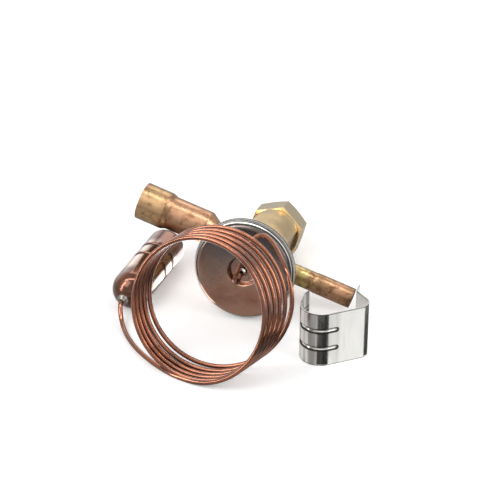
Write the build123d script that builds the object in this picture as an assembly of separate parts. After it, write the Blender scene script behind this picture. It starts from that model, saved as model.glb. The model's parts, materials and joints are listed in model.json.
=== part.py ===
from build123d import *
import math
import os

# Thermostatic expansion valve lying on a flat surface, with its sensing bulb, its coil of
# capillary tube and its loose bulb clip beside it.  Millimetres, +Z up, surface at Z = 0.
# The valve is drawn upright in its own frame: Z along the valve axis towards the power
# element, weld plane of the power element at Z = 0, X along the tubes towards the inlet.
# A "depth" is a distance behind the weld plane, so it lies at Z = -depth.

# ---------------------------------------------------------------- driving dimensions
# power element: two stainless shells welded at the rim with a diaphragm between them
element_od = 47.0
shell_wall = 0.8
diaphragm_thickness = 0.2
diaphragm_margin = 0.6
wave_height = 0.5
wave_pitch = 2.0
wave_count = 3
face_rise = 4.4
face_od = 43.4
shoulder_radius = 1.8
recess_od = 13.6
recess_depth = 2.8
lower_cone_od = 40.0
lower_floor_od = 21.0
lower_floor_depth = 6.2
lower_floor_round = 1.2
lower_floor_lip = 0.4
lower_cone_lip = 0.7
lower_cone_round = 0.8

# capillary entry in the middle of the front face
ferrule_od = 3.9
ferrule_length = 4.2
ferrule_collar_od = 5.6
ferrule_collar_height = 0.8
solder_height = 0.9

# body: brass bar, turned in front, milled flat where the tubes enter, hexagonal behind
body_od = 24.0
body_flat_width = 20.6
body_neck_od = 20.0
body_neck_chamfer = 1.0
body_spigot_od = 16.0
body_spigot_height = 1.6
hex_af = 24.0
hex_depth = 50.0
hex_length = 12.0
hex_chamfer_angle = 30.0
hex_side_turn = 60.0

# ports and tubes
inlet_depth = 16.1
outlet_depth = 24.5
tube_od = 9.53
tube_wall = 0.8
braze_gap = 0.05
braze_leg = 1.9
braze_lip = 0.15
socket_depth = 4.0
port_od = 6.8
outlet_port_end = 5.0
inlet_length = 48.8
inlet_step_at = 29.5
inlet_step = 0.25
inlet_step_length = 1.5
outlet_length = 60.2
outlet_neck_end = 21.6
outlet_od = 15.9
outlet_cone_length = 5.0
swage_length = 2.4
swage_round = 2.5
cup_bore = 16.0
cup_depth = 12.7
tube_edge_round = 0.25

# moving parts on the valve axis
running_gap = 0.05
rod_od = 2.4
pad_od = 24.0
pad_thickness = 1.5
pad_hub_od = 7.0
pad_hub_height = 1.0
rod_seat_depth = 0.9
packing_od = 5.2
packing_height = 2.0
packing_setback = 0.2
equaliser_bore = 1.5
equaliser_offset = 6.4
inlet_chamber_od = 8.0
inlet_chamber_start = 12.4
seat_start = 19.8
seat_length = 3.0
seat_od = 9.0
orifice_bore = 3.8
chamber_bore = 12.0
pin_od = 5.2
pin_tip_rise = 0.8
pin_cone_length = 2.0
pin_length = 5.0
carrier_thickness = 1.5
guide_af = 10.6
spring_spigot_od = 5.6
spring_spigot_length = 2.5
spring_mean_od = 8.4
spring_wire = 1.1
spring_turns = 5.0
spring_length = 13.0
spring_seat_thickness = 3.0
stem_od = 4.0
stem_collar_od = 6.8
stem_collar_height = 1.0
stem_thread_start = 38.2
seat_run_out = 2.0
gland_setback = 2.9
gland_spigot_od = 9.0
gland_spigot_length = 5.0
stem_packing_od = 7.2
stem_packing_height = 2.2
stem_overhang = 2.6
slot_width = 0.9
slot_depth = 1.2
cap_af = 12.0
cap_length = 9.0
cap_end_wall = 1.2
gasket_thickness = 0.5
thread_gap = 0.05

# resting pose of the valve: it lies on the rim of the power element and on the hexagon
valve_heading = 16.1
tube_droop = 16.1
valve_place = (-2.3, -4.35)

# capillary tube
capillary_od = 2.1
coil_turns = 5
coil_start_angle = -4.0
coil_end_angle = 86.0
coil_steps_per_turn = 24
coil_radius = 31.0
coil_heading = (14.0, 25.0)
coil_lean = 19.0
coil_centre_far = (-12.2, -39.3)
coil_centre_near = (-22.5, -52.0)
turn_stations = (0.0, 0.28, 0.48, 0.66, 0.83, 1.0)
lead_step = 2.5
least_turn = 1.5
capillary_straight = 3.0
# points the two leads pass through, in order from the power element to the bulb
front_lead = (
    (-5.3, -14.3, 22.7), (-6.5, -17.3, 23.3), (-7.0, -19.1, 26.0), (-6.0, -18.9, 29.4),
    (-3.7, -17.2, 34.6), (0.3, -14.4, 43.4), (4.4, -15.0, 47.0), (8.3, -18.5, 47.4), (11.7, -25.6, 45.5),
    (14.1, -34.0, 43.9), (16.6, -42.0, 40.9),
)
floor_lead = ((-36.6, -53.8, 1.1), (-48.5, -38.6, 1.1), (-55.2, -24.0, 1.3), (-58.1, -17.4, 2.7),
              (-59.2, -13.8, 5.0))

# sensing bulb
bulb_od = 18.0
bulb_length = 42.0
bulb_near_centre = (-54.0, 1.8)
bulb_heading = 19.7
bulb_wall = 1.3
bulb_groove_middle = 22.8
groove_spacing = 9.0
groove_radius = 1.1
bulb_tail_od = 9.0
bulb_tail_length = 6.0
bead_od = 5.2
bead_length = 3.4
bead_sink = 1.2
bead_skirt = 0.6
bead_belly = 0.9
bead_lip = 0.5
bead_round = 0.8
bead_swing = 4.0
bead_dip = 5.0

# bulb clip: one bent strip of spring steel, standing on its edge
clip_thickness = 0.45
clip_height = 26.0
clip_flat = 15.7
clip_wrap_radius = 9.0
clip_wrap_turn = 125.0
clip_wrap_tail = 6.3
clip_wrap_lip_radius = 2.0
clip_wrap_lip_turn = 25.0
clip_wrap_lip = 3.2
clip_corner_radius = 5.0
clip_corner_turn = 100.0
clip_side = 7.4
clip_side_lip_radius = 1.0
clip_side_lip_turn = -50.0
clip_side_lip = 4.8
rib_run_on_flat = 3.6
rib_turn = 110.0
rib_radius = 1.4
rib_skin = 0.02
clip_place = (33.8, -47.7)
clip_heading = 21.2

# ---------------------------------------------------------------- derived values
element_r = element_od / 2
flange_top = diaphragm_thickness / 2 + shell_wall
hex_end = hex_depth + hex_length
hex_corner_r = hex_af / 2 / math.cos(math.pi / 6)
hex_corner_drop = (hex_corner_r - hex_af / 2) * math.tan(math.radians(hex_chamfer_angle))
flat_x = body_flat_width / 2
socket_x = flat_x - socket_depth
tube_r = tube_od / 2
capillary_r = capillary_od / 2
body_top = lower_floor_depth
spigot_top = body_top - body_spigot_height
seat_end = seat_start + seat_length
pad_top = diaphragm_thickness / 2
pad_bottom = pad_top + pad_thickness
rod_top = pad_bottom + pad_hub_height - rod_seat_depth
pin_top = seat_end - pin_tip_rise
pin_bottom = pin_top + pin_length
spring_top = pin_bottom + carrier_thickness
spring_bottom = spring_top + spring_length
spring_seat_end = spring_bottom + spring_seat_thickness
collar_top = spring_seat_end + seat_run_out
collar_bottom = collar_top + stem_collar_height
gland_end = hex_end
spigot_end = gland_end + gland_spigot_length
stem_end = spigot_end + stem_overhang
cap_start = gland_end + gasket_thickness
cap_end = cap_start + cap_length
guide_r = chamber_bore / 2 - running_gap


# ---------------------------------------------------------------- helpers
def turned(outline, rounds=()):
    """Solid of revolution about Z; outline is (radius, height), rounds pairs a corner with its radius."""
    profile = make_face(Polyline(*outline, close=True))
    for corner, radius in rounds:
        vertex = profile.vertices().sort_by_distance((corner[0], corner[1], 0))[0]
        profile = fillet(vertex, radius)
    return revolve(Plane.XZ * profile, Axis.Z)


def rod(radius, start, end):
    """Cylinder on the valve axis between two depths."""
    return Pos(0, 0, -end) * Cylinder(radius, end - start, align=(Align.CENTER, Align.CENTER, Align.MIN))


def ring(inner, outer, start, end):
    return rod(outer, start, end) - rod(inner, start, end)


def hexagon(across_flats, start, end):
    """Hexagonal prism between two depths, with two of its flats facing the tubes."""
    outline = Rot(0, 0, hex_side_turn / 2) * RegularPolygon(across_flats / 2, 6, major_radius=False)
    return Pos(0, 0, -end) * extrude(outline, end - start)


def chamfered_hexagon(across_flats, start, end):
    """Hexagon whose corners are turned back at both ends, as on a nut."""
    flat_r = across_flats / 2
    corner_r = flat_r / math.cos(math.pi / 6) + 0.5
    drop = (corner_r - flat_r) * math.tan(math.radians(hex_chamfer_angle))
    blank = turned([(0, -start), (flat_r, -start), (corner_r, -start - drop),
                    (corner_r, -end + drop), (flat_r, -end), (0, -end)])
    return hexagon(across_flats, start, end) & blank


def along_x(shape, depth, outwards=1):
    """Turn a shape drawn about Z so that it points along +X or -X, at a depth in the body."""
    return Pos(0, 0, -depth) * Rot(0, 90 * outwards, 0) * shape


# ---------------------------------------------------------------- power element
def upper_shell():
    """Front shell: flange, rounded shoulder, flat face and the recess for the capillary."""
    low, top = diaphragm_thickness / 2, face_rise
    face_r, recess_r, hole_r = face_od / 2, recess_od / 2, ferrule_od / 2
    floor = top - recess_depth
    under = top - shell_wall
    outline = [
        (element_r, low), (element_r, flange_top), (face_r + 0.9, flange_top), (face_r, top),
        (recess_r, top), (recess_r - 0.7, floor), (hole_r, floor), (hole_r, floor - shell_wall),
        (recess_r + 0.1, floor - shell_wall), (recess_r + 0.8, under),
        (face_r - shell_wall, under), (face_r, low),
    ]
    rounds = [((face_r, top), shoulder_radius), ((recess_r, top), 0.7),
              ((recess_r - 0.7, floor), 0.5), ((face_r + 0.9, flange_top), 0.5)]
    return turned(outline, rounds)


def lower_shell():
    """Rear shell: flange and a dished floor that the body's spigot passes through."""
    high = -diaphragm_thickness / 2
    cone_r, floor_r, hole_r = lower_cone_od / 2, lower_floor_od / 2, body_spigot_od / 2
    floor = -lower_floor_depth
    outline = [
        (element_r, high), (element_r, -flange_top), (cone_r + lower_cone_lip, -flange_top),
        (floor_r, floor), (hole_r, floor), (hole_r, floor + shell_wall),
        (floor_r - lower_floor_lip, floor + shell_wall), (cone_r, high),
    ]
    rounds = [((floor_r, floor), lower_floor_round),
              ((cone_r + lower_cone_lip, -flange_top), lower_cone_round)]
    return turned(outline, rounds)


def diaphragm():
    """Thin steel disc, flat over the pad, waved near the rim and clamped between the flanges."""
    half = diaphragm_thickness / 2
    outer_r = element_r - diaphragm_margin
    first = pad_od / 2 + 0.6
    crests = []
    for wave in range(wave_count):
        crests.append((first + wave * wave_pitch, 0.0))
        crests.append((first + (wave + 0.5) * wave_pitch, wave_height))
    crests.append((first + wave_count * wave_pitch, 0.0))
    top = [(0, half)] + [(r, h + half) for r, h in crests] + [(outer_r, half)]
    bottom = [(outer_r, -half)] + [(r, h - half) for r, h in reversed(crests)] + [(0, -half)]
    return turned(top + bottom)


def capillary_ferrule():
    """Collared sleeve in the face that holds the end of the capillary tube."""
    bore = capillary_r + 0.02
    floor = face_rise - recess_depth
    low = floor - shell_wall
    outline = [
        (bore, low), (ferrule_od / 2, low), (ferrule_od / 2, floor), (ferrule_collar_od / 2, floor),
        (ferrule_collar_od / 2, floor + ferrule_collar_height),
        (ferrule_od / 2, floor + ferrule_collar_height),
        (ferrule_od / 2, low + ferrule_length), (bore, low + ferrule_length),
    ]
    return turned(outline)


def capillary_solder():
    """Cone of filler metal where the capillary leaves the ferrule."""
    low = face_rise - recess_depth - shell_wall + ferrule_length
    bore = capillary_r + 0.02
    return turned([(bore, low), (ferrule_od / 2 - 0.1, low), (bore + 0.15, low + solder_height),
                   (bore, low + solder_height)])


# ---------------------------------------------------------------- body and ports
def valve_body():
    """Brass body with its bores, tube sockets, seat pocket and equaliser passage."""
    neck_r, body_r = body_neck_od / 2, body_od / 2
    front = turned([
        (0, -spigot_top), (body_spigot_od / 2, -spigot_top), (body_spigot_od / 2, -body_top),
        (neck_r, -body_top), (body_r, -body_top - body_neck_chamfer), (body_r, -hex_depth), (0, -hex_depth),
    ])
    front &= Pos(0, 0, -hex_depth / 2) * Box(body_flat_width, body_od * 2, hex_depth)
    body = front + chamfered_hexagon(hex_af, hex_depth, hex_end)
    body -= rod(rod_od / 2 + running_gap, spigot_top, inlet_chamber_start)
    body -= rod(packing_od / 2, spigot_top, spigot_top + packing_setback + packing_height)
    body -= rod(inlet_chamber_od / 2, inlet_chamber_start, seat_start)
    body -= rod(seat_od / 2, seat_start, seat_end)
    body -= rod(chamber_bore / 2, seat_end, hex_end)
    body -= Pos(0, equaliser_offset, 0) * rod(equaliser_bore / 2, spigot_top, seat_end + 1.2)
    socket_r = tube_r + braze_gap
    for depth, side, port_end in ((inlet_depth, 1, 0), (outlet_depth, -1, outlet_port_end)):
        socket = Pos(0, 0, socket_x) * Cylinder(
            socket_r, body_od, align=(Align.CENTER, Align.CENTER, Align.MIN))
        port = Pos(0, 0, port_end) * Cylinder(
            port_od / 2, body_od, align=(Align.CENTER, Align.CENTER, Align.MIN))
        body -= along_x(socket, depth, side)
        body -= along_x(port, depth, side)
    return body


def inlet_tube():
    """Straight copper stub with a slight swaged shoulder."""
    bore = tube_r - tube_wall
    near_r = tube_r - inlet_step
    outline = [
        (bore, socket_x), (near_r, socket_x), (near_r, inlet_step_at),
        (tube_r, inlet_step_at + inlet_step_length), (tube_r, inlet_length), (bore, inlet_length),
    ]
    return along_x(turned(outline, [((tube_r, inlet_length), tube_edge_round)]), inlet_depth, 1)


def outlet_tube():
    """Copper outlet: narrow neck, cone, wider tube and a swaged cup for the suction line."""
    cup_r = cup_bore / 2
    wide_r = outlet_od / 2
    wall = tube_wall
    cone_end = outlet_neck_end + outlet_cone_length
    cup_floor = outlet_length - cup_depth
    swage_start = cup_floor - swage_length
    outer = [
        (tube_r, socket_x), (tube_r, outlet_neck_end), (wide_r, cone_end), (wide_r, swage_start),
        (cup_r + wall + 0.1, cup_floor), (cup_r + wall + 0.1, outlet_length),
    ]
    inner = [
        (cup_r, outlet_length), (cup_r, cup_floor), (wide_r - wall, swage_start),
        (wide_r - wall, cone_end + 0.4), (tube_r - wall, outlet_neck_end + 0.4), (tube_r - wall, socket_x),
    ]
    rounds = [(outer[1], swage_round), (outer[2], swage_round), (outer[3], swage_round),
              (outer[4], swage_round), (outer[5], tube_edge_round)]
    return along_x(turned(outer + inner, rounds), outlet_depth, -1)


def braze_ring(depth, side, radius):
    """Fillet of brazing alloy round a tube where it enters the milled flat."""
    fillet_ring = turned([
        (radius, flat_x), (radius + braze_leg, flat_x),
        (radius + braze_lip, flat_x + braze_leg), (radius, flat_x + braze_leg),
    ])
    return along_x(fillet_ring, depth, side)


# ---------------------------------------------------------------- parts on the valve axis
def diaphragm_pad():
    """Stiff disc under the diaphragm, with a hub that seats the push rod."""
    pad = rod(pad_od / 2, pad_top, pad_bottom)
    pad += rod(pad_hub_od / 2, pad_bottom, pad_bottom + pad_hub_height)
    return pad - rod(rod_od / 2, rod_top, pad_bottom + pad_hub_height)


def push_rod():
    return rod(rod_od / 2, rod_top, pin_top)


def rod_packing():
    start = spigot_top + packing_setback
    return ring(rod_od / 2 + running_gap, packing_od / 2, start, start + packing_height)


def seat_insert():
    """Hardened ring pressed into the body; its lower edge is the valve seat."""
    return ring(orifice_bore / 2, seat_od / 2, seat_start, seat_end)


def valve_pin():
    """Poppet whose cone closes the seat from below."""
    tip_r, pin_r = rod_od / 2, pin_od / 2
    return turned([(0, -pin_top), (tip_r, -pin_top), (pin_r, -pin_top - pin_cone_length),
                   (pin_r, -pin_bottom), (0, -pin_bottom)])


def guide_plate(start, end):
    """Hexagonal plate with rounded corners that slides in the round chamber and lets gas pass."""
    return hexagon(guide_af, start, end) & rod(guide_r, start, end)


def pin_carrier():
    end = spring_top + spring_spigot_length
    return guide_plate(pin_bottom, spring_top) + rod(spring_spigot_od / 2, spring_top, end)


def superheat_spring():
    """Round-wire compression spring between the pin carrier and the spring seat."""
    steps = 14
    coil_r = (spring_mean_od) / 2
    wire_r = spring_wire / 2
    rise = spring_length - spring_wire
    count = round(spring_turns * steps)
    points = []
    for i in range(count + 1):
        angle = 2 * math.pi * i / steps
        points.append((coil_r * math.cos(angle), coil_r * math.sin(angle),
                       -spring_bottom + wire_r + rise * i / count))
    return tube_through(points, wire_r)


def spring_seat():
    """Threaded plate that the adjusting stem draws along the chamber."""
    start = spring_bottom - spring_spigot_length
    plate = guide_plate(spring_bottom, spring_seat_end) + rod(spring_spigot_od / 2, start, spring_bottom)
    return plate - rod(stem_od / 2 + thread_gap, start, spring_seat_end)


def adjusting_stem():
    """Stem with a collar inside the gland and a screwdriver slot outside."""
    stem = rod(stem_od / 2, stem_thread_start, stem_end)
    stem += rod(stem_collar_od / 2, collar_top, collar_bottom)
    slot = Pos(0, 0, -stem_end) * Box(slot_width, stem_od * 2, slot_depth * 2)
    return stem - slot


def stem_gland():
    """Plug in the tail of the body, with the packing pocket and the spigot for the seal cap."""
    gland = rod(chamber_bore / 2, collar_bottom, gland_end)
    gland += rod(gland_spigot_od / 2, gland_end, spigot_end)
    gland -= rod(stem_od / 2 + running_gap, collar_bottom, spigot_end)
    return gland - rod(stem_packing_od / 2, collar_bottom + gland_setback,
                       collar_bottom + gland_setback + stem_packing_height)


def stem_packing():
    start = collar_bottom + gland_setback
    return ring(stem_od / 2 + running_gap, stem_packing_od / 2, start, start + stem_packing_height)


def cap_gasket():
    return ring(gland_spigot_od / 2 + thread_gap, cap_af / 2 - 0.3, gland_end, cap_start)


def seal_cap():
    """Small hexagonal cap over the end of the stem."""
    cap = chamfered_hexagon(cap_af, cap_start, cap_end)
    return cap - rod(gland_spigot_od / 2 + thread_gap, cap_start, cap_end - cap_end_wall)


# ---------------------------------------------------------------- resting pose of the valve
def hexagon_reach():
    """Distance from the axis down to the lowest corner of the hexagon."""
    off_corner = (tube_droop + hex_side_turn / 2) % hex_side_turn - hex_side_turn / 2
    return hex_corner_r * math.cos(math.radians(off_corner))


def valve_location():
    """Lay the valve down so that its rim and a corner of the hexagon touch the surface."""
    pitch = math.atan((element_r - hexagon_reach()) / (hex_end - hex_corner_drop - flange_top))
    heading, droop = math.radians(valve_heading), math.radians(tube_droop)
    level_share = math.cos(pitch)
    axis = Vector(-math.sin(heading) * level_share, -math.cos(heading) * level_share, math.sin(pitch))
    level = Vector(math.cos(heading), -math.sin(heading), 0)
    upright = axis.cross(level)
    tubes = level * math.cos(droop) - upright * math.sin(droop)
    height = element_r * math.cos(pitch) + flange_top * math.sin(pitch)
    return Plane(origin=(valve_place[0], valve_place[1], height), x_dir=tubes, z_dir=axis).location


# ---------------------------------------------------------------- capillary tube
def tube_through(points, radius):
    """Round bar along straight runs with mitred joints."""
    path = Polyline(*points)
    start = (Vector(*points[1]) - Vector(*points[0])).normalized()
    section = Plane(origin=points[0], z_dir=start) * Circle(radius)
    return sweep(section, path=path, transition=Transition.RIGHT)


def blend(values, share):
    return values[0] + (values[1] - values[0]) * share


def coil_point(angle):
    """Centre line of the coil; angle in degrees past the right-hand side of the first turn."""
    turn = min(max(angle / 360.0, 0.0), coil_turns - 1e-6)
    index = int(turn)
    share = blend(turn_stations[index:index + 2], turn - index)
    heading, lean = math.radians(blend(coil_heading, share)), math.radians(coil_lean)
    across = Vector(math.cos(heading), -math.sin(heading), 0)
    up = Vector(math.sin(heading) * math.sin(lean), math.cos(heading) * math.sin(lean), math.cos(lean))
    x, y = (blend(pair, share) for pair in zip(coil_centre_far, coil_centre_near))
    centre = Vector(x, y, capillary_r + coil_radius * math.cos(lean))
    way = math.radians(angle)
    return centre + across * (coil_radius * math.cos(way)) - up * (coil_radius * math.sin(way))


def smooth_lead(through):
    """Evenly spaced points on a smooth curve through a few chosen ones."""
    curve = Spline(*through)
    count = max(2, round(curve.length / lead_step))
    spots = [curve @ (i / count) for i in range(count + 1)]
    return [Vector(p.X, p.Y, max(p.Z, capillary_r)) for p in spots]


def without_straights(points):
    """Leave out the points where the path hardly turns."""
    kept = points[:1]
    for here, ahead in zip(points[1:], points[2:]):
        if (here - kept[-1]).get_angle(ahead - here) > least_turn:
            kept.append(here)
    return kept + points[-1:]


def bulb_exit():
    """Centre of the bulb's round end, and the direction in which the capillary leaves it."""
    swing, dip = math.radians(bulb_heading + bead_swing), math.radians(bead_dip)
    away = Vector(-math.sin(swing) * math.cos(dip), -math.cos(swing) * math.cos(dip), -math.sin(dip))
    return Vector(bulb_near_centre[0], bulb_near_centre[1], bulb_od / 2), away


def capillary_tube(place):
    """The whole tube: out of the power element, round the coil and on to the bulb."""
    frame = Plane(place)
    ferrule_foot = frame.from_local_coords(Vector(0, 0, face_rise - recess_depth - shell_wall))
    ferrule_top = frame.from_local_coords(Vector(0, 0, face_rise + capillary_straight))
    step = 360.0 / coil_steps_per_turn
    coil_count = round((360.0 * coil_turns + coil_end_angle - coil_start_angle) / step)
    coil = [coil_point(coil_start_angle + i * step) for i in range(coil_count + 1)]
    centre, away = bulb_exit()
    bulb_end = centre + away * (bulb_od / 2 - bead_sink)
    bead_end = centre + away * (bulb_od / 2 - bead_sink + bead_length + 0.8)
    front = smooth_lead([ferrule_top] + [Vector(*p) for p in front_lead] + coil[:2])
    floor_run = [Vector(*p) for p in floor_lead]
    back = smooth_lead(coil[-2:] + floor_run + [bead_end + away * lead_step, bead_end])
    points = without_straights([ferrule_foot] + front + coil[2:-2] + back + [bulb_end])
    length = sum((b - a).length for a, b in zip(points, points[1:]))
    print(f"capillary tube: {length:.0f} mm long, {len(points)} points")
    return tube_through([tuple(p) for p in points], capillary_r)


# ---------------------------------------------------------------- sensing bulb
def bulb_location():
    """Frame of the bulb: Z along its axis, away from the capillary end, from the near dome's centre."""
    heading = math.radians(bulb_heading)
    axis = Vector(math.sin(heading), math.cos(heading), 0)
    origin = (bulb_near_centre[0], bulb_near_centre[1], bulb_od / 2)
    return Plane(origin=origin, x_dir=(0, 0, 1), z_dir=axis).location


def sensing_bulb():
    """Hollow copper bulb: round near end, two grooves for the clip and a drawn-down far end."""
    r, tail_r = bulb_od / 2, bulb_tail_od / 2
    far = bulb_length + bulb_tail_length
    outline = [(0, 0), (r, 0), (r, bulb_length), (tail_r, far), (0, far)]
    bulb = turned(outline, [((r, bulb_length), 4.0), ((tail_r, far), 2.0)]) + Sphere(r)
    cavity_r = r - bulb_wall
    bulb -= Cylinder(cavity_r, bulb_length - bulb_wall, align=(Align.CENTER, Align.CENTER, Align.MIN))
    bulb -= Sphere(cavity_r)
    for side in (-0.5, 0.5):
        z = bulb_groove_middle + side * groove_spacing
        bulb -= Pos(0, 0, z) * Torus(r + groove_radius * 0.45, groove_radius)
    bulb = bulb_location() * bulb
    centre, away = bulb_exit()
    entry = Plane(origin=centre + away * (r - bead_sink), z_dir=away).location
    return bulb - entry * Cylinder(capillary_r + 0.02, r, align=(Align.CENTER, Align.CENTER, Align.MIN))


def bulb_bead():
    """Tapered bead of filler metal where the capillary enters the bulb."""
    centre, away = bulb_exit()
    bead_r = bead_od / 2
    start = math.sqrt((bulb_od / 2) ** 2 - bead_r ** 2)
    frame = Plane(origin=centre, z_dir=away)
    end = bulb_od / 2 - bead_sink + bead_length
    bore = capillary_r + 0.02
    outline = [
        (bore, start - bead_skirt), (bead_r, start - bead_skirt), (bead_r, start + bead_belly),
        (bore + bead_lip, end), (bore, end),
    ]
    bead = turned(outline, [((bead_r, start + bead_belly), bead_round)])
    return frame.location * bead - Pos(*centre) * Sphere(bulb_od / 2)


# ---------------------------------------------------------------- bulb clip
def bent_strip(moves, turn_side):
    """Plan of a bent strip that starts at the origin; its outer face follows the moves.

    turn_side is 1 for a strip that runs along +X and bends towards +Y, -1 for its mirror image.
    Each move is a straight length, or a pair (outer radius, angle) whose positive angle bends
    towards +Y and whose negative angle bends away from it.
    """
    here, heading = Vector(0, 0), 0.0
    outer, inner = [], []
    for move in moves:
        way = math.radians(heading)
        ahead, inwards = Vector(math.cos(way), math.sin(way)), Vector(-math.sin(way), math.cos(way))
        if isinstance(move, tuple):
            radius, angle = move
            side = math.copysign(1, angle)
            centre = here + inwards * radius * side
            outer.append(CenterArc(centre, radius, heading - 90 * side, angle))
            inner.append(CenterArc(centre, radius - clip_thickness * side, heading - 90 * side, angle))
            heading += angle
            here = outer[-1] @ 1
        else:
            outer.append(Line(here, here + ahead * move))
            inset = inwards * clip_thickness
            inner.append(Line(here + inset, here + ahead * move + inset))
            here = here + ahead * move
    caps = [Line(outer[0] @ 0, inner[0] @ 0), Line(outer[-1] @ 1, inner[-1] @ 1)]
    strip = extrude(make_face(outer + inner + caps), clip_height)
    return strip if turn_side > 0 else mirror(strip, Plane.YZ)


def clip_rib(height, radius):
    """Round-sectioned rib on the clip's outer face line, round the bulb seat and onto the flat."""
    seat = Vector(0, clip_wrap_radius)
    section = Plane(origin=(0, 0, height), x_dir=(0, 1, 0), z_dir=(1, 0, 0)) * Circle(radius)
    round_seat = revolve(section, Axis((0, clip_wrap_radius, 0), (0, 0, -1)), rib_turn)
    along_flat = extrude(section, rib_run_on_flat)
    end_way = math.radians(270 - rib_turn)
    end = seat + Vector(math.cos(end_way), math.sin(end_way)) * clip_wrap_radius
    return (round_seat + along_flat + Pos(rib_run_on_flat, 0, height) * Sphere(radius)
            + Pos(end.X, end.Y, height) * Sphere(radius))


def bulb_clip():
    """Bent strip with two pressed-in ribs that drop into the grooves of the bulb."""
    wrap = bent_strip([(clip_wrap_radius, clip_wrap_turn), clip_wrap_tail,
                       (clip_wrap_lip_radius, clip_wrap_lip_turn), clip_wrap_lip], -1)
    side = bent_strip([clip_flat, (clip_corner_radius, clip_corner_turn), clip_side,
                       (clip_side_lip_radius, clip_side_lip_turn), clip_side_lip], 1)
    clip = wrap + side
    inside = Pos(0, clip_wrap_radius, 0) * Cylinder(clip_wrap_radius - rib_skin, clip_height * 3)
    inside += Pos(clip_flat / 2, clip_wrap_radius / 2 + rib_skin, 0) * Box(
        clip_flat, clip_wrap_radius, clip_height * 3)
    for row in (-0.5, 0.5):
        height = clip_height / 2 + row * groove_spacing
        clip += clip_rib(height, rib_radius) & inside
        clip -= clip_rib(height, rib_radius - clip_thickness)
    return Pos(clip_place[0], clip_place[1], 0) * Rot(0, 0, clip_heading) * clip


# ---------------------------------------------------------------- assembly
def build():
    """Every piece by name, in its resting place."""
    place = valve_location()
    along_axis = {
        "upper_shell": upper_shell(), "lower_shell": lower_shell(), "diaphragm": diaphragm(),
        "diaphragm_pad": diaphragm_pad(), "push_rod": push_rod(), "rod_packing": rod_packing(),
        "capillary_ferrule": capillary_ferrule(), "capillary_solder": capillary_solder(),
        "valve_body": valve_body(), "seat_insert": seat_insert(), "valve_pin": valve_pin(),
        "pin_carrier": pin_carrier(), "superheat_spring": superheat_spring(), "spring_seat": spring_seat(),
        "adjusting_stem": adjusting_stem(), "stem_gland": stem_gland(), "stem_packing": stem_packing(),
        "cap_gasket": cap_gasket(), "seal_cap": seal_cap(),
        "inlet_tube": inlet_tube(), "outlet_tube": outlet_tube(),
        "inlet_braze_ring": braze_ring(inlet_depth, 1, tube_r - inlet_step),
        "outlet_braze_ring": braze_ring(outlet_depth, -1, tube_r),
    }
    pieces = {name: place * shape for name, shape in along_axis.items()}
    pieces["capillary_tube"] = capillary_tube(place)
    pieces["sensing_bulb"] = sensing_bulb()
    pieces["bulb_bead"] = bulb_bead()
    pieces["bulb_clip"] = bulb_clip()
    return pieces


def centred(pieces):
    """Shift everything so that the origin is under the middle of the bounding box."""
    boxes = [shape.bounding_box() for shape in pieces.values()]
    middle = [(min(getattr(b.min, axis) for b in boxes) + max(getattr(b.max, axis) for b in boxes)) / 2
              for axis in "XY"]
    shift = Pos(-middle[0], -middle[1], -min(b.min.Z for b in boxes))
    return {name: shift * shape for name, shape in pieces.items()}, shift.position


if __name__ == "__main__":
    os.makedirs("parts", exist_ok=True)
    parts, shift = centred(build())
    print("shift", tuple(round(v, 3) for v in shift))
    for name, shape in parts.items():
        solids = shape.solids()
        print(f"{name:20s} solids {len(solids)} volume {shape.volume:10.2f} valid {shape.is_valid}")
        export_step(shape, f"parts/{name}.step")
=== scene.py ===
"""Looks of a thermostatic expansion valve set: valve, capillary coil, sensing bulb and bulb clip."""
import json
import math

import bmesh
import bpy
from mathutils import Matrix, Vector


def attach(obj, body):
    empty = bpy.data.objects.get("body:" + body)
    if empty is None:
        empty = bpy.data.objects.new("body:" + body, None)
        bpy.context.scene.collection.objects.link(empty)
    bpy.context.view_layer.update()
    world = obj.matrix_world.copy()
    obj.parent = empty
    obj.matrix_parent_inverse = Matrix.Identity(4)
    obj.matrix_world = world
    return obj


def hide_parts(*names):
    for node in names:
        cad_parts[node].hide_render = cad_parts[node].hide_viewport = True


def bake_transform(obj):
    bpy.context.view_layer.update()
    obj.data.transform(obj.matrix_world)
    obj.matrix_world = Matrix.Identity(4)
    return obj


bl_info = {
    "name": "Expansion valve set",
    "version": (1, 0, 0),
    "blender": (4, 5, 0),
    "location": "View3D > Sidebar > Valve set",
    "description": "Finishes, smooth tube and studio for an expansion valve set",
    "category": "Object",
}

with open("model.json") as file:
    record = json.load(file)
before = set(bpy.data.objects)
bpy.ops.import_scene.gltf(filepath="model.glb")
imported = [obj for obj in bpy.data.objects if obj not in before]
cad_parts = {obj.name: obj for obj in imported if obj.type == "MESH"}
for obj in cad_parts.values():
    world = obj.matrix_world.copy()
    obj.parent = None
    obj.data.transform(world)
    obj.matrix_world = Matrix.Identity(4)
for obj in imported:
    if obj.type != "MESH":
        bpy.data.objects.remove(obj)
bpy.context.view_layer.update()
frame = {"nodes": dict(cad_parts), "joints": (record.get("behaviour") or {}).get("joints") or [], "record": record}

MM = 0.001

# ---------------------------------------------------------------- the valve's own frame
JOINTS = {joint["name"]: joint for joint in frame["joints"]}
MOUNTS = {mount["name"]: mount for mount in frame["record"]["mounts"]}
STEM_COLLAR_DEPTH = 46.5 * MM
TUBE_START = 10.0 * MM
OUTLET_END = 60.2 * MM
INLET_END = 48.8 * MM
BULB_MIDDLE = 20.33 * MM
BULB_GROOVES = (18.3 * MM, 27.3 * MM)
VALVE_IN_LAYOUT = Vector((-2.3, -4.35, 23.3193)) * MM

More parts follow.
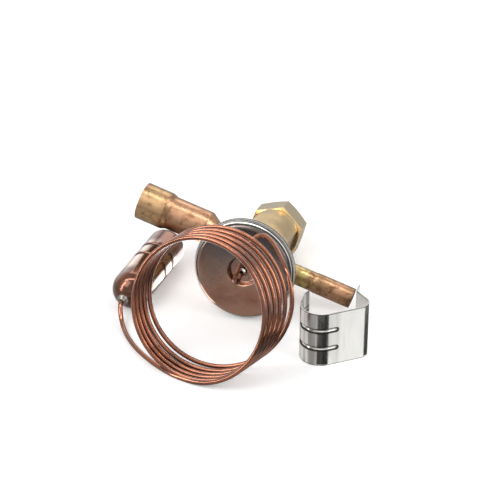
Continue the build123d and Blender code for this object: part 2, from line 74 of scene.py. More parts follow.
FRONT = -Vector(JOINTS["stem_turn"]["axis"]).normalized()
INLET_WAY = Vector(MOUNTS["inlet_stub"]["axis"]).normalized()
CROSS_WAY = FRONT.cross(INLET_WAY)
WELD_CENTRE = Vector(JOINTS["stem_turn"]["pos_m"]) + FRONT * STEM_COLLAR_DEPTH
LAYOUT_ORIGIN = WELD_CENTRE - VALVE_IN_LAYOUT
BULB_WAY = Vector(MOUNTS["sensing_bulb"]["axis"]).normalized()
BULB_CENTRE = Vector(MOUNTS["sensing_bulb"]["pos_m"]) - BULB_WAY * BULB_MIDDLE

CLIP_SEAT = LAYOUT_ORIGIN + Vector((33.8, -47.7, 0)) * MM
CLIP_HEADING = math.radians(21.2)
CLIP_WAY = Vector((math.cos(CLIP_HEADING), math.sin(CLIP_HEADING), 0))
CLIP_EDGES = ((25.65 * MM, 25.5 * MM), (0.25 * MM, 0.4 * MM))
CLIP_RIBS = (8.5 * MM, 17.5 * MM)
CLIP_RIB_END = 3.6 * MM

# Near-black painted shade, for the dark lines round the steel rim and round the clip's ribs.
PAINTED_SHADE = (0.05, 0.045, 0.04)
WHITE = (1, 1, 1)


# ---------------------------------------------------------------- what a user may change
def metal_colour(name, description, rgb):
    return bpy.props.FloatVectorProperty(
        name=name, description=description, subtype="COLOR", min=0, max=1, default=rgb)


class ValveColours(bpy.types.PropertyGroup):
    """Colours of the metals."""
    copper: metal_colour("Copper", "Drawn copper of the capillary tube and the bulb", (0.25, 0.090, 0.046))
    # copper_dark, made darker still, is also the painted shade where copper turns away from the viewer.
    copper_dark: metal_colour("Dark copper", "Oxidised patches of the copper", (0.125, 0.048, 0.030))
    tint_gold: metal_colour("Golden tint", "Copper where it was heated most", (0.33, 0.210, 0.108))
    tint_brown: metal_colour("Brown tint", "Copper between hot and cold", (0.27, 0.155, 0.085))
    tint_pink: metal_colour("Pink tint", "Copper that stayed cooler", (0.38, 0.213, 0.125))
    brass: metal_colour("Brass", "Machined brass of the body", (0.55, 0.395, 0.195))
    stainless: metal_colour("Stainless steel", "Pressed shells of the power element", (0.135, 0.115, 0.107))
    clip: metal_colour("Clip steel", "Bright strip of the bulb clip", (0.93, 0.925, 0.89))


class ValveStage(bpy.types.PropertyGroup):
    """Camera, floor and lamps."""
    lens: bpy.props.FloatProperty(
        name="Lens", description="Focal length", subtype="DISTANCE_CAMERA", default=115.2, min=20)
    distance: bpy.props.FloatProperty(
        name="Camera distance", description="From the camera to the point it looks at",
        unit="LENGTH", default=0.721, min=0.1)
    elevation: bpy.props.FloatProperty(
        name="Camera height angle", description="How far above the horizon the camera stands",
        subtype="ANGLE", default=math.radians(29.8))
    key_power: bpy.props.FloatProperty(
        name="Key lamp", description="Power of the large lamp on the left",
        unit="POWER", default=2.6, min=0)
    fill_power: bpy.props.FloatProperty(
        name="Fill lamp", description="Power of the lamp on the right",
        unit="POWER", default=1.6, min=0)


def colours():
    return bpy.context.scene.valve_colours


def stage_values():
    return bpy.context.scene.valve_stage


# ---------------------------------------------------------------- material helpers
class Finish:
    """A metal or plastic material that is built up step by step."""

    def __init__(self, name, metallic, roughness):
        self.material = bpy.data.materials.new(name)
        self.material.use_nodes = True
        self.nodes = self.material.node_tree.nodes
        self.links = self.material.node_tree.links
        self.shader = self.nodes["Principled BSDF"]
        self.shader.inputs["Metallic"].default_value = metallic
        self.shader.inputs["Roughness"].default_value = roughness
        self.place = self.nodes.new("ShaderNodeTexCoord").outputs["Object"]

    def node(self, kind, **inputs):
        made = self.nodes.new(kind)
        for key, value in inputs.items():
            made.inputs[key.replace("_", " ")].default_value = value
        return made

    def noise(self, scale, detail=3.0, stretch=None):
        """Cloudy value over the piece; stretch scales it along each axis."""
        where = self.place
        if stretch is not None:
            mapping = self.node("ShaderNodeMapping", Scale=stretch)
            self.links.new(where, mapping.inputs["Vector"])
            where = mapping.outputs["Vector"]
        cloud = self.node("ShaderNodeTexNoise", Scale=scale, Detail=detail)
        self.links.new(where, cloud.inputs["Vector"])
        return cloud.outputs["Fac"]

    def ramp(self, value, stops):
        """Colour ramp over a value; stops are (position, rgb)."""
        made = self.nodes.new("ShaderNodeValToRGB")
        elements = made.color_ramp.elements
        elements[0].position, elements[1].position = stops[0][0], stops[-1][0]
        elements[0].color, elements[1].color = (*stops[0][1], 1), (*stops[-1][1], 1)
        for position, rgb in stops[1:-1]:
            elements.new(position).color = (*rgb, 1)
        self.links.new(value, made.inputs["Fac"])
        return made.outputs["Color"]

    def span(self, value, low, high, to_low=0.0, to_high=1.0):
        """Value mapped from one range to another, held at both ends."""
        made = self.nodes.new("ShaderNodeMapRange")
        for key, number in (("From Min", low), ("From Max", high), ("To Min", to_low), ("To Max", to_high)):
            made.inputs[key].default_value = number
        self.links.new(value, made.inputs["Value"])
        return made.outputs["Result"]

    def maths(self, operation, first, second=None):
        """One sum; what takes a single value leaves second out."""
        made = self.nodes.new("ShaderNodeMath")
        made.operation = operation
        for socket, value in zip(made.inputs, (first, second)):
            if isinstance(value, bpy.types.NodeSocket):
                self.links.new(value, socket)
            elif value is not None:
                socket.default_value = value
        return made.outputs["Value"]

    def mix(self, share, first, second, blend="MIX"):
        """Colour between two others, each of them a socket or an rgb."""
        made = self.nodes.new("ShaderNodeMix")
        made.data_type, made.blend_type = "RGBA", blend
        for socket, value in zip((made.inputs[0], made.inputs[6], made.inputs[7]), (share, first, second)):
            if isinstance(value, bpy.types.NodeSocket):
                self.links.new(value, socket)
            elif isinstance(value, (int, float)):
                socket.default_value = value
            else:
                socket.default_value = (*value, 1)
        return made.outputs[2]

    def along(self, origin, way):
        """Distance of a point along a direction from an origin, in metres."""
        run = self.vector("DOT_PRODUCT", self.place, way).outputs["Value"]
        return self.maths("SUBTRACT", run, origin.dot(way))

    def vector(self, operation, first, second=None):
        made = self.nodes.new("ShaderNodeVectorMath")
        made.operation = operation
        self.links.new(first, made.inputs[0])
        if second is not None:
            made.inputs[1].default_value = second
        return made

    def around(self, origin, way):
        """Distance of a point from an axis, in metres."""
        offset = self.vector("SUBTRACT", self.place, origin).outputs["Vector"]
        cross = self.vector("CROSS_PRODUCT", offset, way).outputs["Vector"]
        return self.vector("LENGTH", cross).outputs["Value"]

    def facing(self):
        """Zero where the surface faces the viewer, one where it turns away."""
        return self.node("ShaderNodeLayerWeight", Blend=0.5).outputs["Facing"]

    def base(self, colour_socket):
        self.links.new(colour_socket, self.shader.inputs["Base Color"])

    def rough(self, value, low, high):
        self.links.new(self.span(value, 0.3, 0.7, low, high), self.shader.inputs["Roughness"])

    def bump(self, *layers):
        """Relief from (value, height in metres) layers."""
        normal = None
        for value, height in layers:
            made = self.node("ShaderNodeBump", Strength=1.0, Distance=height)
            self.links.new(value, made.inputs["Height"])
            if normal is not None:
                self.links.new(normal, made.inputs["Normal"])
            normal = made.outputs["Normal"]
        self.links.new(normal, self.shader.inputs["Normal"])


def paint(material, *names):
    """Give CAD nodes or pieces one material."""
    for name in names:
        piece = frame["nodes"].get(name) or bpy.data.objects[name]
        piece.data.materials.clear()
        piece.data.materials.append(material)


# ---------------------------------------------------------------- finishes
def drawn_copper(name, depth=1.0, detail=None):
    """Red-brown copper under a thin clear skin, with painted shade where it turns away from the viewer; depth
    below one darkens the oxide.

    detail, where given, takes the finish and its colour and returns the colour to use.
    """
    made = Finish(name, 1.0, 0.3)
    dark, red = ([v * depth for v in c] for c in (colours().copper_dark, colours().copper))
    tone = made.ramp(made.noise(70, 3), [(0.32, dark), (0.62, red)])
    tone = made.mix(made.span(made.noise(240, 2), 0.55, 0.8, 0, 0.35), tone, [v * 1.7 for v in red])
    # Painted shade: darker, towards the dark oxide colour, where the surface turns away from the viewer.
    tone = made.mix(made.span(made.facing(), 0.45, 0.85, 0, 0.75), tone, [v * 0.35 for v in dark])
    made.base(tone if detail is None else detail(made, tone))
    made.rough(made.noise(200, 3), 0.13, 0.22)
    made.shader.inputs["Coat Weight"].default_value = 0.45
    made.shader.inputs["Coat Roughness"].default_value = 0.12
    made.bump((made.noise(90, 1), 0.000004))
    return made.material


def bulb_painted_light(made, tone):
    """Painted reflection makes the bulb's flanks pale where they turn away from the viewer, and painted shade
    darkens its two grooves in bands.
    """
    run = made.along(BULB_CENTRE, BULB_WAY)
    turned_away = made.facing()
    # Painted reflection: pale flanks where the surface turns away from the viewer, between about 3 mm and 33 mm
    # along the bulb.
    flank = made.span(turned_away, 0.42, 0.66, 0, 0.6)
    flank_reflection = made.maths("MULTIPLY", made.span(run, 3 * MM, 7 * MM), flank)
    flank_reflection = made.maths("MULTIPLY", flank_reflection, made.span(run, 33 * MM, 29 * MM))
    tone = made.mix(flank_reflection, tone, (0.85, 0.66, 0.56))
    # Painted shade: dark bands in the two grooves, wider where the surface turns away from the viewer.
    widening = made.maths("MULTIPLY", turned_away, 1.9 * MM)
    for groove in BULB_GROOVES:
        off = made.maths("ABSOLUTE", made.maths("SUBTRACT", run, groove))
        band = made.span(made.maths("SUBTRACT", off, widening), 0.75 * MM, 0.4 * MM, 0, 0.95)
        tone = made.mix(band, tone, (0.085, 0.04, 0.028))
    return tone


def tube_share(made, way, end, grain, wander):
    """How far out a point lies on a brazed tube, from 0 to 1, with a wavering edge."""
    drift = made.span(made.noise(grain, 3), 0.3, 0.7, -wander, wander)
    return made.span(made.maths("ADD", made.along(WELD_CENTRE, way), drift), TUBE_START, end)


def stained_and_shaded(made, heat, grain, low, high, share):
    """Heat tints with fine brown spots, and painted shade that darkens the tube where it turns away from the
    viewer.
    """
    spots = made.ramp(made.noise(grain, 5), [(low, colours().tint_brown), (high, WHITE)])
    tone = made.mix(share, heat, spots, "MULTIPLY")
    # Painted shade: darker where the tube turns away from the viewer.
    return made.mix(made.span(made.facing(), 0.5, 0.9, 0, 0.7), tone, (0.10, 0.06, 0.035))


def outlet_copper():
    """Outlet tube: brown neck, pink middle, brown band and a golden cup."""
    made = Finish("outlet_copper", 1.0, 0.3)
    c = colours()
    gold_light = [v * 1.12 for v in c.tint_gold]
    heat = made.ramp(tube_share(made, -INLET_WAY, OUTLET_END, 120, 2.2 * MM), [
        (0.0, c.tint_gold), (0.20, c.tint_brown), (0.36, c.tint_pink), (0.62, c.tint_pink),
        (0.70, c.tint_brown), (0.80, gold_light), (0.975, c.tint_gold), (1.0, c.tint_brown)])
    made.base(stained_and_shaded(made, heat, 330, 0.32, 0.48, 0.55))
    made.rough(made.noise(160, 3), 0.28, 0.38)
    made.bump((made.noise(110, 1), 0.00002), (made.noise(2600, 2), 0.000004))
    return made.material


def inlet_copper():
    """Inlet stub: golden by the body, copper-brown further out."""
    made = Finish("inlet_copper", 1.0, 0.3)
    c = colours()
    olive, burnt = (0.40, 0.32, 0.13), (0.12, 0.06, 0.035)
    heat = made.ramp(tube_share(made, INLET_WAY, INLET_END, 140, 2.0 * MM), [
        (0.0, c.tint_brown), (0.15, c.tint_gold), (0.42, olive), (0.47, c.tint_brown), (0.50, c.tint_gold),
        (0.60, c.tint_brown), (0.80, c.tint_pink), (0.93, c.tint_brown), (1.0, burnt)])
    made.base(stained_and_shaded(made, heat, 420, 0.36, 0.50, 0.6))
    made.rough(made.noise(180, 3), 0.26, 0.44)
    made.bump((made.noise(300, 3), 0.00010), (made.noise(2600, 2), 0.00002))
    return made.material


def hexagon_painted_light(made, tone):
    """Painted light on the hexagon: an olive near face as painted shade, a golden line at its turned corners as
    painted highlight, and paler flats as painted reflection.
    """
    depth = made.along(WELD_CENTRE, -FRONT)
    # Painted shade: olive near face of the hexagon.
    face = made.mix(made.span(depth, 49.0 * MM, 49.6 * MM, 0, 0.75), tone, (0.24, 0.19, 0.108))
    # Painted highlight: golden line at the turned corners.
    outer = made.span(made.around(WELD_CENTRE, FRONT), 11.6 * MM, 12.1 * MM)
    corner = made.maths("MULTIPLY", outer, made.span(depth, 49.9 * MM, 50.3 * MM))
    gold = made.mix(corner, face, (0.80, 0.54, 0.22))
    # Painted reflection: paler flats further back.
    return made.mix(made.span(depth, 51.0 * MM, 51.8 * MM), gold, (0.37, 0.30, 0.19))


def turned_brass(name, pitch=0.25 * MM, detail=None):
    """Brass with fine turning marks round the valve's axis and a dull golden cast."""
    made = Finish(name, 1.0, 0.3)
    c = colours()
    dull = [v * 0.70 for v in c.brass]
    warm = (c.brass[0] * 1.15, c.brass[1] * 1.02, c.brass[2] * 0.80)
    tone = made.ramp(made.noise(60, 1), [(0.34, dull), (0.5, c.brass), (0.66, warm)])
    made.base(tone if detail is None else detail(made, tone))
    made.rough(made.noise(220, 3), 0.20, 0.34)
    run = made.along(WELD_CENTRE, FRONT)
    marks = made.maths("SINE", made.maths("MULTIPLY", run, 2 * math.pi / pitch))
    made.bump((marks, 0.000003), (made.noise(520, 2), 0.00001))
    return made.material


def pressed_stainless():
    """Shells of the power element: dark polished steel with a faint copper cast low on the face as a painted
    reflection, and bands of painted highlight and painted shade round the rim.
    """
    made = Finish("pressed_stainless", 1.0, 0.2)
    grey, warm, pale = colours().stainless, (0.40, 0.225, 0.155), (0.85, 0.84, 0.80)
    drift = made.span(made.noise(70, 3), 0.3, 0.7, -6 * MM, 6 * MM)
    upwards = (CROSS_WAY * 0.8 - INLET_WAY * 0.2).normalized()
    height = made.maths("ADD", made.along(WELD_CENTRE, upwards), drift)
    # Painted reflection: warm copper colour towards the bottom of the face.
    cast = made.mix(made.span(height, 10 * MM, -12 * MM, 0.08, 0.85), grey, warm)
    # Painted highlight (pale) and painted shade bands on the rim's flange and shoulder, used only outside 21.3 mm
    # from the axis.
    rim = made.ramp(made.span(made.along(WELD_CENTRE, FRONT), -1 * MM, 4 * MM), [
        (0.0, pale), (0.08, PAINTED_SHADE), (0.27, PAINTED_SHADE), (0.30, pale), (0.37, pale), (0.40, PAINTED_SHADE), (0.51, PAINTED_SHADE),
        (0.54, pale), (0.65, pale), (0.68, PAINTED_SHADE), (1.0, PAINTED_SHADE)])
    outside = made.span(made.around(WELD_CENTRE, FRONT), 21.3 * MM, 21.6 * MM)
    made.base(made.mix(outside, cast, rim))
    made.rough(made.noise(150, 3), 0.16, 0.30)
    made.bump((made.noise(160, 3), 0.00006), (made.noise(1800, 2), 0.000012))
    return made.material


def rib_outline(made, flat, rise):
    """Painted shade as a dark line round one pressed rib, from the clip's bend to the rib's rounded end."""
    past_end = made.maths("MAXIMUM", made.maths("SUBTRACT", flat, CLIP_RIB_END), 0.0)
    squares = [made.maths("MULTIPLY", way, way) for way in (rise, past_end)]
    reach = made.maths("SQRT", made.maths("ADD", *squares))
    line = made.maths("ABSOLUTE", made.maths("SUBTRACT", reach, 0.95 * MM))
    return made.span(line, 0.46 * MM, 0.28 * MM, 0, 0.92)


def bright_strip():
    """Clip: bright rolled strip, streaked along its height, with painted shade as dark streaks by its bend, dark
    edges and dark lines by its ribs.
    """
    made = Finish("bright_strip", 1.0, 0.15)
    clip = colours().clip
    tone = made.ramp(made.noise(500, 4, (1, 1, 0.12)), [(0.35, [v * 0.93 for v in clip]), (0.6, clip)])
    flat = made.along(CLIP_SEAT, CLIP_WAY)
    # Painted shade: dark streaks within 6 mm of the clip's bend.
    streak = made.span(made.noise(300, 2, (1, 1, 0.02)), 0.42, 0.62, 0.75, 0)
    bend = made.maths("MULTIPLY", streak, made.span(flat, 6 * MM, 0))
    tone = made.mix(bend, tone, (0.20, 0.185, 0.165))
    height = made.along(LAYOUT_ORIGIN, Vector((0, 0, 1)))
    # Painted shade: dark lines round the ribs.
    for rib in CLIP_RIBS:
        tone = made.mix(rib_outline(made, flat, made.maths("SUBTRACT", height, rib)), tone, PAINTED_SHADE)
    # Painted shade: dark top and bottom edges.
    for edge, inner in CLIP_EDGES:
        tone = made.mix(made.span(height, inner, edge, 0, 0.85), tone, (0.10, 0.095, 0.09))
    made.base(tone)
    made.rough(made.noise(700, 3, (1, 1, 0.08)), 0.16, 0.28)
    made.bump((made.noise(1600, 2, (1, 1, 0.05)), 0.000006), (made.noise(120, 2), 0.00003))
    return made.material


def ground_steel(name):
    made = Finish(name, 1.0, 0.25)
    made.base(made.ramp(made.noise(400, 3), [(0.35, (0.36, 0.36, 0.37)), (0.65, (0.58, 0.58, 0.59))]))
    made.rough(made.noise(900, 2), 0.2, 0.36)
    made.bump((made.noise(2400, 2), 0.00001))
    return made.material


def brazing_alloy():
    """Run filler metal, pale gold with a grey skin."""
    made = Finish("brazing_alloy", 1.0, 0.35)
    made.base(made.ramp(made.noise(500, 4), [(0.36, (0.30, 0.26, 0.20)), (0.6, (0.62, 0.53, 0.36))]))
    made.rough(made.noise(600, 3), 0.3, 0.5)
    made.bump((made.noise(700, 3), 0.0001))
    return made.material


def soft_solder():
    """Grey solder on the bulb's neck and in the ferrule."""
    made = Finish("soft_solder", 1.0, 0.3)
    made.base(made.ramp(made.noise(600, 4), [(0.36, (0.12, 0.11, 0.10)), (0.62, (0.27, 0.25, 0.22))]))
    made.rough(made.noise(600, 3), 0.26, 0.42)
    made.bump((made.noise(800, 3), 0.00008))
    return made.material


def white_packing():
    made = Finish("white_packing", 0.0, 0.45)
    made.base(made.ramp(made.noise(300, 3), [(0.3, (0.78, 0.77, 0.73)), (0.7, (0.88, 0.87, 0.84))]))
    made.bump((made.noise(1500, 2), 0.00002))
    return made.material


def black_rubber():
    made = Finish("black_rubber", 0.0, 0.6)
    made.base(made.ramp(made.noise(400, 3), [(0.3, (0.02, 0.02, 0.02)), (0.7, (0.045, 0.045, 0.045))]))
    made.bump((made.noise(2200, 2), 0.00003))
    return made.material


# ---------------------------------------------------------------- capillary route
CAPILLARY_RADIUS = 1.05 * MM
TURNS = 5
START_ANGLE, END_ANGLE, STEP_ANGLE = -4.0, 86.0, 15.0
COIL_RADIUS = 31.0
COIL_HEADING = (14.0, 25.0)
COIL_LEAN = 19.0
COIL_FAR, COIL_NEAR = (-12.2, -39.3), (-22.5, -52.0)
STATIONS = (0.0, 0.28, 0.48, 0.66, 0.83, 1.0)
FERRULE_DEPTHS = (0.8, 4.0, 7.4)
FRONT_LEAD = (
    (-5.3, -14.3, 22.7), (-6.5, -17.3, 23.3), (-7.0, -19.1, 26.0), (-6.0, -18.9, 29.4),
    (-3.7, -17.2, 34.6), (0.3, -14.4, 43.4), (4.4, -15.0, 47.0), (8.3, -18.5, 47.4), (11.7, -25.6, 45.5),
    (14.1, -34.0, 43.9), (16.6, -42.0, 40.9),
)
FLOOR_LEAD = ((-36.6, -54.6, 1.1), (-48.7, -39.4, 1.1), (-54.4, -27.6, 1.2), (-56.7, -20.4, 1.6),
              (-57.8, -16.4, 2.8), (-58.4, -13.4, 4.8), (-58.6, -11.4, 6.7))
BULB_TURN, BEAD_SWING, BEAD_DIP = 19.7, 4.0, 5.0
BEAD_REACHES = (11.6, 10.6, 9.2, 7.8)


def between(pair, share):
    return pair[0] + (pair[1] - pair[0]) * share


def coil_point(angle, swell=1.0):
    """Centre line of the coil, in millimetres; swell makes up for the spline cutting its corners."""
    turn = min(max(angle / 360.0, 0.0), TURNS - 1e-6)
    index = int(turn)
    share = between(STATIONS[index:index + 2], turn - index)
    heading, lean = math.radians(between(COIL_HEADING, share)), math.radians(COIL_LEAN)
    across = Vector((math.cos(heading), -math.sin(heading), 0))
    tip = math.sin(lean)
    up = Vector((math.sin(heading) * tip, math.cos(heading) * tip, math.cos(lean)))
    x, y = (between(pair, share) for pair in zip(COIL_FAR, COIL_NEAR))
    centre = Vector((x, y, CAPILLARY_RADIUS / MM + COIL_RADIUS * math.cos(lean)))
    way = math.radians(angle)
    return centre + (across * math.cos(way) - up * math.sin(way)) * COIL_RADIUS * swell


def capillary_route():
    """Control points of the tube's line, in metres, from the ferrule to the bulb."""
    swell = 3 / (2 + math.cos(math.radians(STEP_ANGLE)))
    count = round((360 * TURNS + END_ANGLE - START_ANGLE) / STEP_ANGLE)
    coil = [coil_point(START_ANGLE + i * STEP_ANGLE, swell) for i in range(count + 1)]
    middle = [Vector(p) for p in FRONT_LEAD] + coil + [Vector(p) for p in FLOOR_LEAD]
    points = [WELD_CENTRE + FRONT * depth * MM for depth in FERRULE_DEPTHS]
    points += [LAYOUT_ORIGIN + p * MM for p in middle]
    swing, dip = math.radians(BULB_TURN + BEAD_SWING), math.radians(BEAD_DIP)
    away = Vector((-math.sin(swing) * math.cos(dip), -math.cos(swing) * math.cos(dip), -math.sin(dip)))
    points += [BULB_CENTRE + away * reach * MM for reach in BEAD_REACHES]
    return points


def round_tube(name, points, radius):
    """Smooth tube along a spline through control points."""
    curve = bpy.data.curves.new(name, "CURVE")
    curve.dimensions = "3D"
    curve.bevel_depth = radius
    curve.bevel_resolution = 7
    curve.resolution_u = 10
    curve.use_fill_caps = True
    spline = curve.splines.new("NURBS")
    spline.points.add(len(points) - 1)
    for spot, place in zip(spline.points, points):
        spot.co = (*place, 1)
    spline.order_u = 4
    spline.use_endpoint_u = True
    shape = bpy.data.objects.new(name + "_line", curve)
    bpy.context.collection.objects.link(shape)
    bpy.context.view_layer.update()
    drawn = shape.evaluated_get(bpy.context.evaluated_depsgraph_get())
    mesh = bpy.data.meshes.new_from_object(drawn)
    bpy.data.objects.remove(shape)
    for face in mesh.polygons:
        face.use_smooth = True
    piece = bpy.data.objects.new(name, mesh)
    bpy.context.collection.objects.link(piece)
    return piece


# ---------------------------------------------------------------- operators
class VALVE_OT_capillary(bpy.types.Operator):
    """Lay the smooth capillary tube along its route"""
    bl_idname = "valve.capillary"
    bl_label = "Capillary tube"

    def execute(self, context):
        tube = round_tube("capillary", capillary_route(), CAPILLARY_RADIUS)
        paint(drawn_copper("capillary_copper"), tube.name)
        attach(tube, "valve")
        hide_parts("capillary_tube")
        return {"FINISHED"}


class VALVE_OT_element(bpy.types.Operator):
    """Finish the power element's shells, ferrule and inner pieces"""
    bl_idname = "valve.element"
    bl_label = "Power element"

    def execute(self, context):
        paint(pressed_stainless(), "upper_shell", "lower_shell")
        paint(drawn_copper("ferrule_copper", 0.8), "capillary_ferrule")
        paint(ground_steel("ground_steel"), "diaphragm", "diaphragm_pad", "push_rod", "seat_insert",
              "valve_pin")
        paint(soft_solder(), "capillary_solder", "bulb_bead")
        return {"FINISHED"}


class VALVE_OT_body(bpy.types.Operator):
    """Finish the brass body and the brass pieces on its axis"""
    bl_idname = "valve.body"
    bl_label = "Body"

    def execute(self, context):
        paint(turned_brass("body_brass", detail=hexagon_painted_light), "valve_body")
        paint(turned_brass("fitting_brass", 0.18 * MM), "pin_carrier", "spring_seat", "adjusting_stem",
              "stem_gland", "seal_cap")
        paint(white_packing(), "rod_packing", "cap_gasket")
        paint(black_rubber(), "stem_packing")
        return {"FINISHED"}


class VALVE_OT_tubes(bpy.types.Operator):
    """Finish the inlet and outlet tubes and their brazed joints"""
    bl_idname = "valve.tubes"
    bl_label = "Tubes"

    def execute(self, context):
        paint(outlet_copper(), "outlet_tube")
        paint(inlet_copper(), "inlet_tube")
        paint(brazing_alloy(), "inlet_braze_ring", "outlet_braze_ring")
        return {"FINISHED"}


class VALVE_OT_bulb(bpy.types.Operator):
    """Finish the sensing bulb"""
    bl_idname = "valve.bulb"
    bl_label = "Sensing bulb"

    def execute(self, context):
        paint(drawn_copper("bulb_copper", 0.55, bulb_painted_light), "sensing_bulb")
        return {"FINISHED"}


class VALVE_OT_clip(bpy.types.Operator):
    """Finish the bulb clip"""
    bl_idname = "valve.clip"
    bl_label = "Bulb clip"

    def execute(self, context):
        paint(bright_strip(), "bulb_clip")
        return {"FINISHED"}


def spring_half(name, cut, kept_side):
    """Half of the spring, cut across its middle and closed over the cut."""
    node = frame["nodes"]["superheat_spring"]
    wire = bmesh.new()
    wire.from_mesh(node.data)
    wire.transform(node.matrix_world)
    whole = wire.verts[:] + wire.edges[:] + wire.faces[:]
    opened = bmesh.ops.bisect_plane(
        wire, geom=whole, plane_co=cut, plane_no=kept_side, clear_inner=True)
    edges = [piece for piece in opened["geom_cut"] if isinstance(piece, bmesh.types.BMEdge)]
    bmesh.ops.holes_fill(wire, edges=edges)
    mesh = bpy.data.meshes.new(name)
    wire.to_mesh(mesh)
    wire.free()
    half = bpy.data.objects.new(name, mesh)
    bpy.context.collection.objects.link(half)
    paint(ground_steel(name + "_steel"), half.name)
    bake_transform(half)
    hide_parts("superheat_spring")


class VALVE_OT_spring(bpy.types.Operator):
    """Cut the superheat spring across its middle into two closed halves"""
    bl_idname = "valve.spring"
    bl_label = "Superheat spring"

    def execute(self, context):
        node = frame["nodes"]["superheat_spring"]
        depths = [(WELD_CENTRE - node.matrix_world @ spot.co).dot(FRONT) for spot in node.data.vertices]
        near, far = (WELD_CENTRE - FRONT * depth for depth in (min(depths), max(depths)))
        middle = (near + far) / 2
        spring_half("spring_near_half", middle, FRONT)
        spring_half("spring_far_half", middle, -FRONT)
        return {"FINISHED"}


# ---------------------------------------------------------------- stage
AIM_HEIGHT = 30.3 * MM
BACK_LAMP_SHARE = 0.8
STRIP_GLOW = 14.0
FLAG_SHADE = 0.05
CLIP_FLAG_DEPTH = 60
CLIP_FLAGS = (("left_flag", (28.7, -48.1), -20.5, (33.6, -47.75), 42.5),
              ("right_flag", (49.6, -41.4), 74.0, (51.4, -39.0), 144.0))
BULB_REFLECTOR = ((-42, -12, 0.6), (-22, -12, 0.6), (-10, 60, 0.6), (-30, 60, 0.6))
FLOOR_REACH = 3.0
FLOOR_SHADE = 0.93
FLOOR_GLOW = 0.32
WORLD_LIGHT = 0.45


def in_layout(points):
    return [LAYOUT_ORIGIN + Vector(p) * MM for p in points]


def level(near_left, far_right, height):
    """Corners of a level rectangle."""
    (left, near), (right, far) = near_left, far_right
    return [(left, near, height), (right, near, height), (right, far, height), (left, far, height)]


def upright(first, second, low, high):
    """Corners of an upright card over the line between two points."""
    return [(*first, low), (*second, low), (*second, high), (*first, high)]


def clip_flag(start, start_way, stop, stop_way):
    """Corners of a dark card that fans out from two points on the clip's face."""
    corners = [start, stop]
    for (x, y), way in ((stop, stop_way), (start, start_way)):
        turn = math.radians(way)
        corners.append((x + math.sin(turn) * CLIP_FLAG_DEPTH, y - math.cos(turn) * CLIP_FLAG_DEPTH))
    return in_layout((x, y, 0.6) for x, y in corners)


def card(name, corners, strength):
    """Flat card that only shows in reflections, as a flag or reflector beside a table does."""
    mesh = bpy.data.meshes.new(name)
    mesh.from_pydata([tuple(c) for c in corners], [], [tuple(range(len(corners)))])
    made = bpy.data.objects.new(name, mesh)
    bpy.context.collection.objects.link(made)
    material = bpy.data.materials.new(name)
    material.use_nodes = True
    nodes, links = material.node_tree.nodes, material.node_tree.links
    nodes.remove(nodes["Principled BSDF"])
    glow = nodes.new("ShaderNodeEmission")
    glow.inputs["Color"].default_value = (strength, strength, strength, 1)
    links.new(glow.outputs["Emission"], nodes["Material Output"].inputs["Surface"])
    made.data.materials.append(material)
    made.visible_camera = False
    made.visible_diffuse = False
    made.visible_shadow = False
    made.visible_transmission = False


def lamp(name, place, target, size, power):
    light = bpy.data.lights.new(name, "AREA")
    light.shape = "RECTANGLE"
    light.size, light.size_y = size
    light.energy = power
    made = bpy.data.objects.new(name, light)
    made.location = place
    made.rotation_euler = (target - place).to_track_quat("-Z", "Y").to_euler()
    bpy.context.collection.objects.link(made)


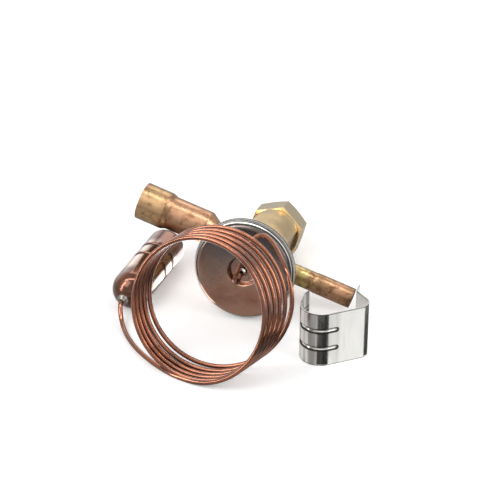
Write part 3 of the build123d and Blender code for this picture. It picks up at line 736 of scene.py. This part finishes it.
class VALVE_OT_stage(bpy.types.Operator):
    """Set the floor, lamps, world and camera"""
    bl_idname = "valve.stage"
    bl_label = "Stage"

    def execute(self, context):
        values = stage_values()
        self.floor()
        self.world()
        target = LAYOUT_ORIGIN + Vector((0, 0, AIM_HEIGHT))
        self.lamps(values, target)
        self.cards()
        self.camera(values, target)
        return {"FINISHED"}

    def lamps(self, values, target):
        for name, offset, size, power in (
                ("key_lamp", (-0.42, -0.30, 0.62), (0.5, 0.5), values.key_power),
                ("fill_lamp", (0.55, -0.35, 0.45), (0.35, 0.5), values.fill_power),
                ("back_lamp", (0.1, 0.60, 0.50), (0.6, 0.25), values.fill_power * BACK_LAMP_SHARE)):
            lamp(name, target + Vector(offset), target, size, power)

    def cards(self):
        """Dark flags, bright strips and reflectors that the polished metal mirrors."""
        card("front_flag", level((-0.5, -0.60), (0.35, -0.145), 0.001), 0.04)
        for name, *edges in CLIP_FLAGS:
            card(name, clip_flag(*edges), FLAG_SHADE)
        card("left_strip", upright((-0.62, -0.22), (-0.59, -0.30), 0.05, 0.9), STRIP_GLOW)
        card("right_strip", upright((0.59, -0.22), (0.62, -0.14), 0.1, 0.8), STRIP_GLOW)
        card("top_strip", level((-0.6, -0.08), (0.6, 0.0), 0.8), STRIP_GLOW)
        card("bulb_reflector", in_layout(BULB_REFLECTOR), 4)
        card("left_reflector", upright((-0.55, 0.30), (-0.12, 0.50), 0.0, 0.35), 1.8)

    def floor(self):
        """Pale floor, a little brighter to the camera than the light on it."""
        mesh = bpy.data.meshes.new("floor")
        corners = level((-FLOOR_REACH, -FLOOR_REACH), (FLOOR_REACH, FLOOR_REACH), 0)
        mesh.from_pydata(corners, [], [(0, 1, 2, 3)])
        floor = bpy.data.objects.new("floor", mesh)
        bpy.context.collection.objects.link(floor)
        material = bpy.data.materials.new("floor_white")
        material.use_nodes = True
        nodes, links = material.node_tree.nodes, material.node_tree.links
        shader = nodes["Principled BSDF"]
        shader.inputs["Base Color"].default_value = (FLOOR_SHADE, FLOOR_SHADE, FLOOR_SHADE, 1)
        shader.inputs["Roughness"].default_value = 1.0
        shader.inputs["Specular IOR Level"].default_value = 0.0
        path = nodes.new("ShaderNodeLightPath")
        glow = nodes.new("ShaderNodeEmission")
        glow.inputs["Color"].default_value = (1, 1, 1, 1)
        scale = nodes.new("ShaderNodeMath")
        scale.operation = "MULTIPLY"
        scale.inputs[1].default_value = FLOOR_GLOW
        links.new(path.outputs["Is Camera Ray"], scale.inputs[0])
        links.new(scale.outputs["Value"], glow.inputs["Strength"])
        both = nodes.new("ShaderNodeAddShader")
        links.new(shader.outputs["BSDF"], both.inputs[0])
        links.new(glow.outputs["Emission"], both.inputs[1])
        links.new(both.outputs["Shader"], nodes["Material Output"].inputs["Surface"])
        mesh.materials.append(material)

    def world(self):
        """White surroundings to the camera, in reflections and through openings, dimmer as light."""
        world = bpy.data.worlds.new("studio")
        bpy.context.scene.world = world
        world.use_nodes = True
        nodes, links = world.node_tree.nodes, world.node_tree.links
        background = nodes["Background"]
        background.inputs["Color"].default_value = (1, 1, 1, 1)
        path = nodes.new("ShaderNodeLightPath")
        seen = path.outputs["Is Camera Ray"]
        for ray in ("Is Glossy Ray", "Is Transmission Ray"):
            either = nodes.new("ShaderNodeMath")
            either.operation = "MAXIMUM"
            links.new(seen, either.inputs[0])
            links.new(path.outputs[ray], either.inputs[1])
            seen = either.outputs["Value"]
        brightness = nodes.new("ShaderNodeMapRange")
        brightness.inputs["To Min"].default_value = WORLD_LIGHT
        brightness.inputs["To Max"].default_value = 1.0
        links.new(seen, brightness.inputs["Value"])
        links.new(brightness.outputs["Result"], background.inputs["Strength"])

    def camera(self, values, target):
        data = bpy.data.cameras.new("camera")
        data.lens = values.lens
        data.sensor_width = 36.0
        data.clip_start, data.clip_end = 0.01, 50.0
        camera = bpy.data.objects.new("camera", data)
        back = Vector((0, -math.cos(values.elevation), math.sin(values.elevation)))
        camera.location = target + back * values.distance
        camera.rotation_euler = (-back).to_track_quat("-Z", "Y").to_euler()
        bpy.context.collection.objects.link(camera)
        bpy.context.scene.camera = camera
        bpy.context.scene.view_settings.view_transform = "Standard"


class VALVE_PT_panel(bpy.types.Panel):
    """Steps that dress the valve set"""
    bl_idname = "VALVE_PT_panel"
    bl_label = "Valve set"
    bl_space_type = "VIEW_3D"
    bl_region_type = "UI"
    bl_category = "Valve set"

    def draw(self, context):
        for step in STEPS:
            self.layout.operator(step.bl_idname)
        for group in (context.scene.valve_colours, context.scene.valve_stage):
            for key in group.__annotations__:
                self.layout.prop(group, key)


STEPS = (VALVE_OT_capillary, VALVE_OT_element, VALVE_OT_body, VALVE_OT_spring, VALVE_OT_tubes,
         VALVE_OT_bulb, VALVE_OT_clip, VALVE_OT_stage)
GROUPS = (ValveColours, ValveStage)


def register():
    for kind in GROUPS + STEPS + (VALVE_PT_panel,):
        bpy.utils.register_class(kind)
    bpy.types.Scene.valve_colours = bpy.props.PointerProperty(type=ValveColours)
    bpy.types.Scene.valve_stage = bpy.props.PointerProperty(type=ValveStage)


def unregister():
    del bpy.types.Scene.valve_colours
    del bpy.types.Scene.valve_stage
    for kind in reversed(GROUPS + STEPS + (VALVE_PT_panel,)):
        bpy.utils.unregister_class(kind)


def main():
    register()
    bpy.ops.valve.capillary()
    bpy.ops.valve.element()
    bpy.ops.valve.body()
    bpy.ops.valve.spring()
    bpy.ops.valve.tubes()
    bpy.ops.valve.bulb()
    bpy.ops.valve.clip()
    bpy.ops.valve.stage()


if __name__ == "__main__":
    main()
